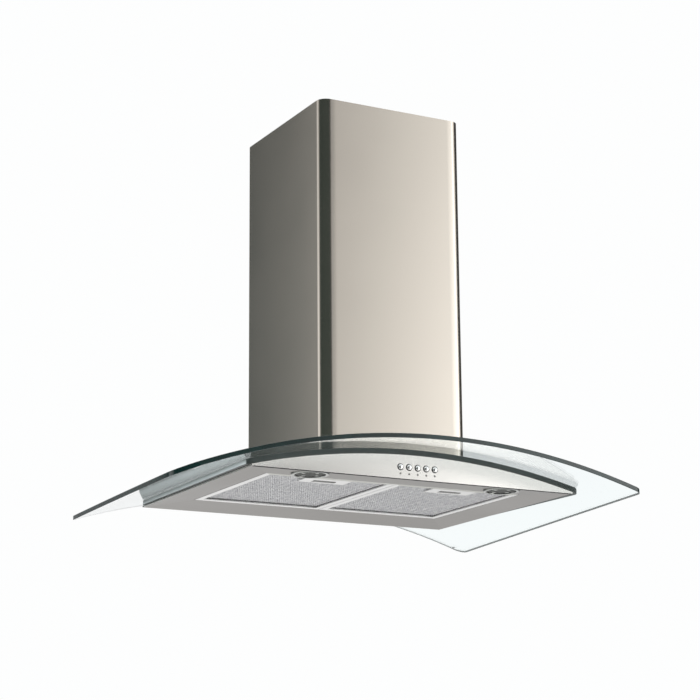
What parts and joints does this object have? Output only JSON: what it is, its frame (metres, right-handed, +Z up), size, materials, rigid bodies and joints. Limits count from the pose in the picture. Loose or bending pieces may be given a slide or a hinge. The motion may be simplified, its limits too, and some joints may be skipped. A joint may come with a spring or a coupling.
{
  "type": "island range hood",
  "caption": "Ceiling-hung island range hood: rectangular telescopic chimney, bent glass canopy on an arched body, hinged grease filters, lamps and push buttons.",
  "frame": {"origin": "middle of the ceiling plate's top face, on the chimney's axis", "axes": "+X to the right along the button panel, +Y from the button panel to the far side, +Z up"},
  "size_m": [0.9621, 0.7059, 0.7659],
  "materials": {
    "ceiling_zinc": "galvanised sheet",
    "cover_steel": "fine horizontal brushing, warm tone",
    "panel_steel": "fine brushing, satin",
    "pan_steel": "brushed, duller than the panels",
    "bed_paint": "dark grey satin",
    "canopy_glass": "clear toughened glass, dark green polished edge",
    "zinc_steel": "galvanised sheet",
    "filter_aluminium": "satin",
    "mesh_aluminium": "expanded mesh",
    "chrome_trim": "polished",
    "reflector": "faceted bright reflector",
    "lens_glass": "clear",
    "bulb_glass": "frosted capsule",
    "black_plastic": "fine texture",
    "motor_paint": "black paint",
    "white_plastic": "moulded"
  },
  "bodies": {
    "ceiling": {"ceiling_plate": "ceiling_zinc", "upper_chimney": "cover_steel", "upper_upright_near_left": "ceiling_zinc", "upper_upright_near_right": "ceiling_zinc", "upper_upright_far_right": "ceiling_zinc", "upper_upright_far_left": "ceiling_zinc"},
    "hood": {"lower_upright_near_left": "ceiling_zinc", "lower_upright_near_right": "ceiling_zinc", "lower_upright_far_right": "ceiling_zinc", "lower_upright_far_left": "ceiling_zinc", "chimney_cover": "cover_steel", "front_panel": "panel_steel", "rear_panel": "panel_steel", "underside_pan": "pan_steel", "glass_bed_frame": "bed_paint", "glass_canopy": "canopy_glass", "glass_clamp_near": "zinc_steel", "glass_clamp_far": "zinc_steel", "frame_rail_left": "zinc_steel", "frame_rail_right": "zinc_steel", "blower_base_plate": "zinc_steel", "blower_housing": "zinc_steel", "outlet_adapter": "zinc_steel", "motor_bracket": "zinc_steel", "lamp_bezel_left": "chrome_trim", "lamp_bezel_right": "chrome_trim", "damper_pin": "chrome_trim", "lamp_reflector_left": "reflector", "lamp_reflector_right": "reflector", "lamp_lens_left": "lens_glass", "lamp_lens_right": "lens_glass", "lamp_bulb_left": "bulb_glass", "lamp_bulb_right": "bulb_glass", "control_module": "black_plastic", "lamp_transformer": "black_plastic", "terminal_box": "black_plastic", "outlet_collar": "black_plastic", "motor": "motor_paint", "capacitor": "white_plastic"},
    "impeller": {"impeller": "white_plastic", "motor_shaft": "chrome_trim"},
    "flap_left": {"damper_flap_left": "black_plastic"},
    "flap_right": {"damper_flap_right": "black_plastic"},
    "filter_left": {"filter_frame_left": "filter_aluminium", "filter_mesh_left": "mesh_aluminium"},
    "latch_left": {"filter_latch_left": "chrome_trim"},
    "filter_right": {"filter_frame_right": "filter_aluminium", "filter_mesh_right": "mesh_aluminium"},
    "latch_right": {"filter_latch_right": "chrome_trim"},
    "button_1": {"button_1": "chrome_trim"},
    "button_2": {"button_2": "chrome_trim"},
    "button_3": {"button_3": "chrome_trim"},
    "button_4": {"button_4": "chrome_trim"},
    "button_5": {"button_5": "chrome_trim"}
  },
  "joints": [
    {"name": "chimney_height", "type": "slide", "parent": "ceiling", "child": "hood", "axis": [0, 0, -1], "range_m": [0, 0.3]},
    {"name": "fan_spin", "type": "hinge", "parent": "hood", "child": "impeller", "pos_m": [-0.022, 0, -0.561], "axis": [0, 1, 0], "continuous": true},
    {"name": "flap_right_lift", "type": "hinge", "parent": "hood", "child": "flap_right", "pos_m": [0.004, 0, -0.3595], "axis": [0, -1, 0], "range_deg": [0, 80]},
    {"name": "flap_left_lift", "type": "hinge", "parent": "hood", "child": "flap_left", "pos_m": [-0.004, 0, -0.3595], "axis": [0, 1, 0], "range_deg": [0, 80]},
    {"name": "filter_left_drop", "type": "hinge", "parent": "hood", "child": "filter_left", "pos_m": [-0.1305, 0.1472, -0.7165], "axis": [1, 0, 0], "range_deg": [0, 90]},
    {"name": "latch_left_slide", "type": "slide", "parent": "filter_left", "child": "latch_left", "axis": [0, 1, 0], "range_m": [0, 0.006], "stiffness_N_per_m": 300, "springref_m": -0.004},
    {"name": "filter_right_drop", "type": "hinge", "parent": "hood", "child": "filter_right", "pos_m": [0.1305, 0.1472, -0.7165], "axis": [1, 0, 0], "range_deg": [0, 90]},
    {"name": "latch_right_slide", "type": "slide", "parent": "filter_right", "child": "latch_right", "axis": [0, 1, 0], "range_m": [0, 0.006], "stiffness_N_per_m": 300, "springref_m": -0.004},
    {"name": "button_1_press", "type": "slide", "parent": "hood", "child": "button_1", "axis": [0, 1, 0], "range_m": [0, 0.0025], "stiffness_N_per_m": 400, "springref_m": -0.003},
    {"name": "button_2_press", "type": "slide", "parent": "hood", "child": "button_2", "axis": [0, 1, 0], "range_m": [0, 0.0025], "stiffness_N_per_m": 400, "springref_m": -0.003},
    {"name": "button_3_press", "type": "slide", "parent": "hood", "child": "button_3", "axis": [0, 1, 0], "range_m": [0, 0.0025], "stiffness_N_per_m": 400, "springref_m": -0.003},
    {"name": "button_4_press", "type": "slide", "parent": "hood", "child": "button_4", "axis": [0, 1, 0], "range_m": [0, 0.0025], "stiffness_N_per_m": 400, "springref_m": -0.003},
    {"name": "button_5_press", "type": "slide", "parent": "hood", "child": "button_5", "axis": [0, 1, 0], "range_m": [0, 0.0025], "stiffness_N_per_m": 400, "springref_m": -0.003}
  ]
}
